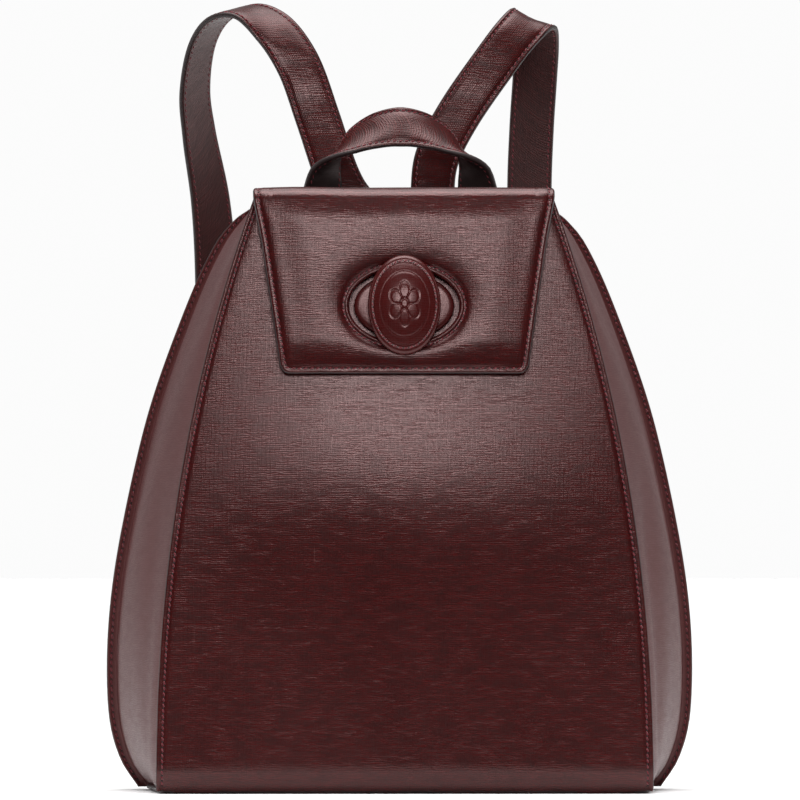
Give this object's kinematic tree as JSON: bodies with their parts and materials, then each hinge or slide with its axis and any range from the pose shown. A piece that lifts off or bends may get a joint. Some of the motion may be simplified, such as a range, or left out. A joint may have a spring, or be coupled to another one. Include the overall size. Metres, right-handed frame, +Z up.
{
  "type": "leather backpack",
  "caption": "Small wedge-shaped leather backpack with an oval turn-lock flap, a short top handle and looped shoulder straps.",
  "frame": {"origin": "on the flat underside of the base, midway between the gussets", "axes": "+Z up, the front faces -Y, +X to the right seen from the front"},
  "size_m": [0.2906, 0.1786, 0.3953],
  "materials": {
    "burgundy_leather": "fine straight grain, semi-gloss with a soft sheen",
    "smooth_leather": "smoother grain, satin",
    "flap_lining_leather": "smooth, satin",
    "strap_leather": "crossways grain, semi-gloss, painted edges",
    "strap_lining": "smooth, matt",
    "handle_lining": "smooth, matt black",
    "lock_leather": "smooth, semi-gloss",
    "lining_fabric": "woven, matt",
    "zip_tape_fabric": "woven, matt",
    "padding": "foam, matt",
    "board": "pressed fibre board, matt",
    "gold_metal": "polished"
  },
  "bodies": {
    "bag": {"front_panel": "burgundy_leather", "back_panel": "burgundy_leather", "gusset_left": "smooth_leather", "gusset_right": "smooth_leather", "base_panel": "burgundy_leather", "base_board": "board", "back_padding": "padding", "lining": "lining_fabric", "mouth_facing_front": "flap_lining_leather", "mouth_facing_back": "flap_lining_leather", "pocket_panel": "lining_fabric", "zip_tape": "zip_tape_fabric", "zip_teeth": "gold_metal", "lock_base_plate": "lock_leather", "lock_backing_plate": "gold_metal", "lock_post": "gold_metal", "lock_washer": "gold_metal", "handle_end_left": "strap_leather", "handle_end_right": "strap_leather", "strap_top_end_left": "strap_leather", "strap_tail_left": "strap_leather", "strap_top_end_right": "strap_leather", "strap_tail_right": "strap_leather", "back_yoke": "burgundy_leather", "lower_tab_left": "strap_leather", "buckle_frame_left": "gold_metal", "keeper_loop_left": "strap_leather", "lower_tab_right": "strap_leather", "buckle_frame_right": "gold_metal", "keeper_loop_right": "strap_leather"},
    "flap_top": {"flap_top_lining": "flap_lining_leather", "flap_top_leather": "burgundy_leather"},
    "flap_front": {"flap_front_lining": "flap_lining_leather", "flap_front_padding": "padding", "flap_front_leather": "burgundy_leather", "flap_eyelet_rim": "burgundy_leather"},
    "knob": {"knob_core": "gold_metal", "knob_cover": "lock_leather"},
    "handle": {"handle_leather": "strap_leather", "handle_lining": "handle_lining"},
    "strap_left": {"strap_leather_left": "strap_leather", "strap_lining_left": "strap_lining"},
    "strap_right": {"strap_leather_right": "strap_leather", "strap_lining_right": "strap_lining"},
    "prong_left": {"buckle_prong_left": "gold_metal"},
    "prong_right": {"buckle_prong_right": "gold_metal"},
    "zip_slider": {"zip_slider": "gold_metal"},
    "zip_pull": {"zip_pull": "gold_metal"}
  },
  "joints": [
    {"name": "flap_lift", "type": "hinge", "parent": "bag", "child": "flap_top", "pos_m": [0, 0.036, 0.299], "axis": [-1, 0, 0], "range_deg": [0, 66]},
    {"name": "flap_fold", "type": "hinge", "parent": "flap_top", "child": "flap_front", "pos_m": [0, -0.0355, 0.298], "axis": [-1, 0, 0], "range_deg": [0, 120], "deforming": ["flap_eyelet_rim"]},
    {"name": "lock_turn", "type": "hinge", "parent": "bag", "child": "knob", "pos_m": [0, -0.04184, 0.2425], "axis": [0, -0.9947, 0.1031], "range_deg": [0, 90]},
    {"name": "handle_fold", "type": "hinge", "parent": "bag", "child": "handle", "pos_m": [0, 0.0455, 0.2985], "axis": [-1, 0, 0], "range_deg": [-4, 3]},
    {"name": "strap_left_swing", "type": "hinge", "parent": "bag", "child": "strap_left", "pos_m": [-0.02, 0.0505, 0.2885], "axis": [-0.3796, 0.1637, -0.9106], "range_deg": [-1, 6]},
    {"name": "strap_right_swing", "type": "hinge", "parent": "bag", "child": "strap_right", "pos_m": [0.017, 0.0505, 0.2885], "axis": [0.3918, 0.1629, -0.9055], "range_deg": [-6, 1]},
    {"name": "buckle_prong_left_swing", "type": "hinge", "parent": "bag", "child": "prong_left", "pos_m": [-0.1, 0.0695, 0.062], "axis": [-1, 0, 0], "range_deg": [0, 40]},
    {"name": "buckle_prong_right_swing", "type": "hinge", "parent": "bag", "child": "prong_right", "pos_m": [0.1, 0.0695, 0.062], "axis": [-1, 0, 0], "range_deg": [0, 40]},
    {"name": "zip_slide", "type": "slide", "parent": "bag", "child": "zip_slider", "axis": [1, 0, 0], "range_m": [0, 0.108]},
    {"name": "zip_pull_swing", "type": "hinge", "parent": "zip_slider", "child": "zip_pull", "pos_m": [-0.054, 0.03248, 0.217], "axis": [-1, 0, 0], "range_deg": [0, 170]}
  ],
  "couplings": [
    {"joint": "flap_lift", "follows": "flap_fold", "ratio": 0.55}
  ]
}
